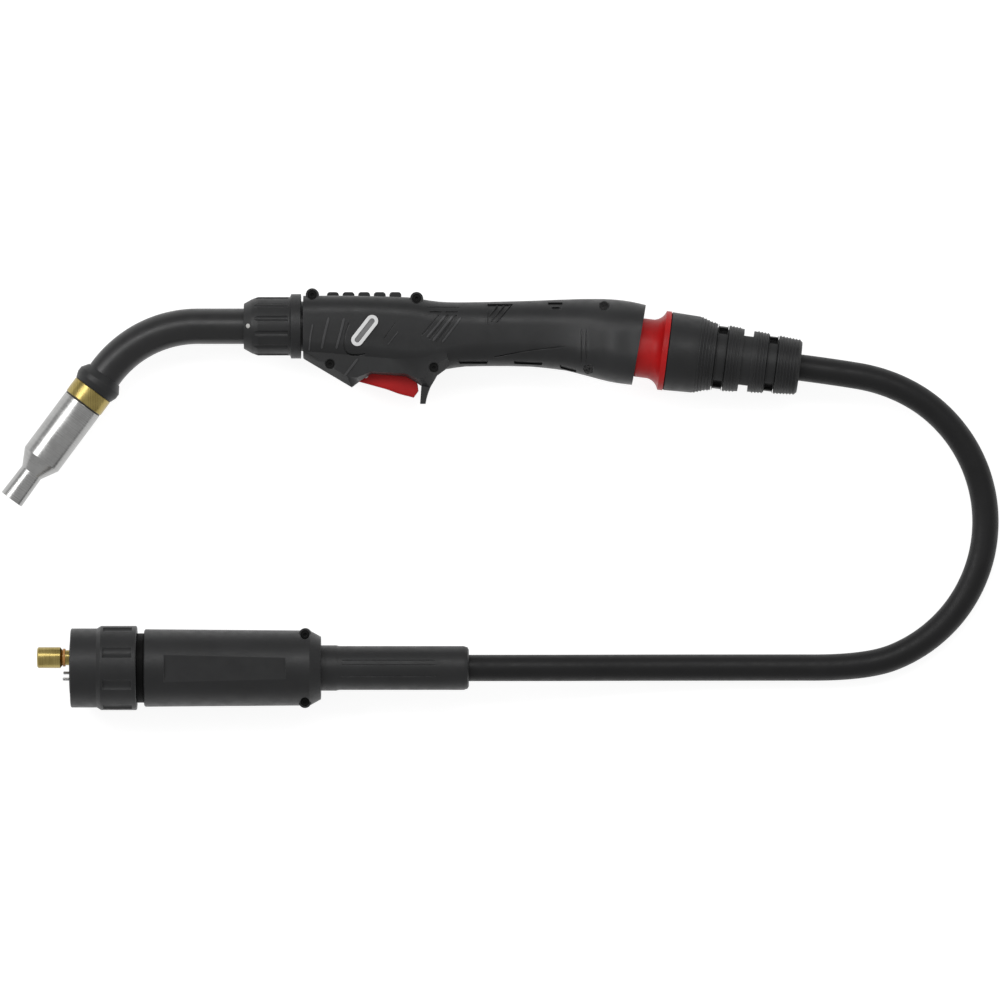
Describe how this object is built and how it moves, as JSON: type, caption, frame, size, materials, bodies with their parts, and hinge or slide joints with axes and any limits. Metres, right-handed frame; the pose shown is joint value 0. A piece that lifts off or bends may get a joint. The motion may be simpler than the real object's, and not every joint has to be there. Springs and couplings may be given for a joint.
{
  "type": "mig welding torch",
  "caption": "Gas-shielded welding gun: bent neck with nozzle, pistol-less straight handle with red trigger, ball-jointed cable boot, cable loop and central screw-ring connector.",
  "frame": {"origin": "bottom centre of the torch's box, without its cable and connector, on the surface that it lies on", "axes": "+X from the nozzle to the cable boot, +Y up the handle and away from the trigger, +Z away from the surface that it lies on"},
  "size_m": [0.6588, 0.2781, 0.0556],
  "materials": {
    "black_plastic": "fine moulded texture, charcoal black",
    "nut_plastic": "matt moulded black",
    "red_plastic": "satin red",
    "boot_plastic": "semi-rigid black polymer",
    "cable_rubber": "smooth black sheath",
    "inner_plastic": "plain black insulation",
    "white_plastic": "plain",
    "neck_metal": "black coated aluminium sleeve",
    "nickel": "turned, nickel plated, bright",
    "chrome": "polished rim",
    "grey_plate": "brushed grey",
    "brass": "turned brass",
    "copper": "copper alloy",
    "steel": "zinc plated",
    "black_screw": "black oxide",
    "o_ring_rubber": "black",
    "orange_rubber": "orange silicone"
  },
  "bodies": {
    "cable_set": {"cable": "cable_rubber", "cable_end_boot": "cable_rubber", "cable_end_plug": "cable_rubber", "connector_screws": "black_screw", "connector_shell_lower": "black_plastic", "connector_shell_upper": "black_plastic", "control_sleeves": "brass", "nut_retainer": "inner_plastic", "plug_body": "inner_plastic", "plug_cable_clamp": "brass", "plug_collar": "nut_plastic", "plug_sleeve": "nut_plastic", "power_pin": "brass", "power_pin_o_ring": "orange_rubber"},
    "ring_nut": {"ring_nut": "nut_plastic"},
    "control_pin_a": {"control_pin_a": "steel"},
    "control_pin_b": {"control_pin_b": "steel"},
    "swivel": {"swivel_knuckle": "red_plastic", "cable_boot": "boot_plastic"},
    "ball_seat": {"ball_seat": "white_plastic"},
    "handle": {"handle_shell_right": "black_plastic", "handle_shell_left": "black_plastic", "handle_screws": "black_screw", "badge_rim": "chrome", "badge_plate": "grey_plate", "trigger_pin": "steel", "trigger_spring": "steel", "switch_body": "inner_plastic", "switch_pins": "steel", "switch_leads": "inner_plastic", "power_block": "brass", "cable_ferrule": "copper", "handle_cable": "cable_rubber", "collet_ring": "inner_plastic"},
    "trigger": {"trigger": "red_plastic"},
    "switch_plunger": {"switch_plunger": "white_plastic"},
    "clamp_nut": {"clamp_nut": "nut_plastic"},
    "neck": {"neck_sleeve": "neck_metal", "neck_insulation": "inner_plastic", "neck_tube": "copper", "neck_root": "brass", "wire_liner": "white_plastic", "neck_end_cap": "nut_plastic", "nozzle_seat_ring": "brass", "nozzle_o_ring": "o_ring_rubber", "nozzle_clip": "steel", "nozzle_insulator": "white_plastic", "tip_holder": "copper", "tip_nut": "brass", "gas_diffuser": "brass", "contact_tip": "copper"},
    "gas_nozzle": {"gas_nozzle": "nickel"}
  },
  "joints": [
    {"name": "swivel_roll", "type": "hinge", "parent": "cable_set", "child": "swivel", "pos_m": [0.1373, 0.03545, 0.027], "axis": [0.9923, -0.1236, 0], "range_deg": [-90, 90]},
    {"name": "swivel_yaw", "type": "hinge", "parent": "swivel", "child": "ball_seat", "pos_m": [0.1373, 0.03545, 0.027], "axis": [0, 0, 1], "range_deg": [-5.5, 5.5]},
    {"name": "swivel_pitch", "type": "hinge", "parent": "ball_seat", "child": "handle", "pos_m": [0.1373, 0.03545, 0.027], "axis": [0.1236, 0.9923, 0], "range_deg": [-5.5, 5.5]},
    {"name": "trigger_press", "type": "hinge", "parent": "handle", "child": "trigger", "pos_m": [-0.0238, 0.01425, 0.027], "axis": [0, 0, 1], "range_deg": [0, 8], "stiffness_Nm_per_rad": 0.6, "springref_deg": -8.59},
    {"name": "plunger_slide", "type": "slide", "parent": "handle", "child": "switch_plunger", "axis": [0, 1, 0], "range_m": [0, 0.002]},
    {"name": "clamp_turn", "type": "hinge", "parent": "handle", "child": "clamp_nut", "pos_m": [-0.066, 0.04705, 0.027], "axis": [-1, 0, 0], "range_deg": [0, 360]},
    {"name": "neck_turn", "type": "hinge", "parent": "handle", "child": "neck", "pos_m": [-0.066, 0.04705, 0.027], "axis": [-1, 0, 0], "range_deg": [-180, 180]},
    {"name": "nozzle_pull", "type": "slide", "parent": "neck", "child": "gas_nozzle", "axis": [-0.5976, -0.8018, 0], "range_m": [0, 0.025]},
    {"name": "ring_nut_turn", "type": "hinge", "parent": "cable_set", "child": "ring_nut", "pos_m": [-0.2185, -0.17845, 0.0278], "axis": [-1, 0, 0], "continuous": true},
    {"name": "control_pin_a_press", "type": "slide", "parent": "cable_set", "child": "control_pin_a", "axis": [1, 0, 0], "range_m": [0, 0.003], "stiffness_N_per_m": 400, "springref_m": -0.002},
    {"name": "control_pin_b_press", "type": "slide", "parent": "cable_set", "child": "control_pin_b", "axis": [1, 0, 0], "range_m": [0, 0.003], "stiffness_N_per_m": 400, "springref_m": -0.002}
  ],
  "couplings": [
    {"joint": "plunger_slide", "follows": "trigger_press", "m_per_rad": 0.014}
  ]
}
